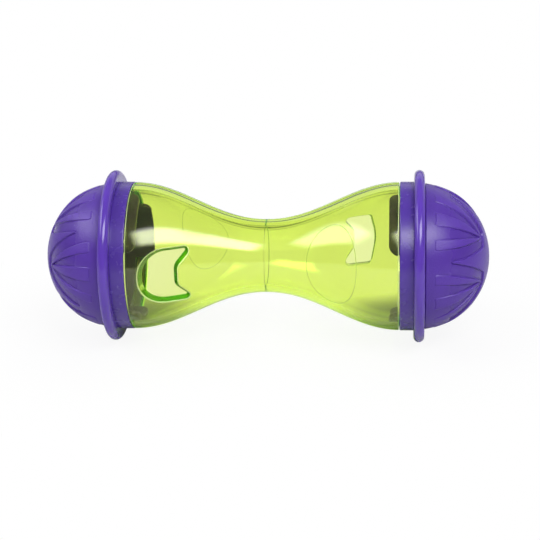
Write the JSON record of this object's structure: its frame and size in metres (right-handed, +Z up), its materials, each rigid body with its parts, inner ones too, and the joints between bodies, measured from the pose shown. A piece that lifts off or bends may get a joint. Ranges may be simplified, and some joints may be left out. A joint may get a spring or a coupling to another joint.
{
  "type": "bone-shaped treat dispenser",
  "caption": "Rolling pet toy shaped like a bone: clear bells joined at a narrow neck, cat-head outlets that drop dry treats, and twist-off domed caps with a rolling ring.",
  "frame": {"origin": "on the floor under the neck seam, midway between the two ends", "axes": "+X along the toy's axis towards the end whose outlet faces away, +Y towards that outlet, +Z up"},
  "size_m": [0.1655, 0.064, 0.064],
  "materials": {
    "clear_green": "clear yellow-green polycarbonate, polished",
    "collar_purple": "moulded purple plastic, semi-gloss",
    "ring_purple": "moulded purple plastic, polished",
    "dome_purple": "moulded purple plastic, satin with a fine grain"
  },
  "bodies": {
    "bells": {"left_bell": "clear_green", "right_bell": "clear_green"},
    "left_ring": {"left_roller_ring": "ring_purple"},
    "left_cap": {"left_lock_collar": "collar_purple", "left_dome": "dome_purple"},
    "right_ring": {"right_roller_ring": "ring_purple"},
    "right_cap": {"right_lock_collar": "collar_purple", "right_dome": "dome_purple"}
  },
  "joints": [
    {"name": "left_cap_pull", "type": "slide", "parent": "bells", "child": "left_ring", "axis": [-1, 0, 0], "range_m": [0, 0.04]},
    {"name": "left_cap_twist", "type": "hinge", "parent": "left_ring", "child": "left_cap", "pos_m": [-0.05, 0, 0.032], "axis": [-1, 0, 0], "range_deg": [0, 60]},
    {"name": "right_cap_pull", "type": "slide", "parent": "bells", "child": "right_ring", "axis": [1, 0, 0], "range_m": [0, 0.04]},
    {"name": "right_cap_twist", "type": "hinge", "parent": "right_ring", "child": "right_cap", "pos_m": [0.05, 0, 0.032], "axis": [1, 0, 0], "range_deg": [0, 60]}
  ]
}
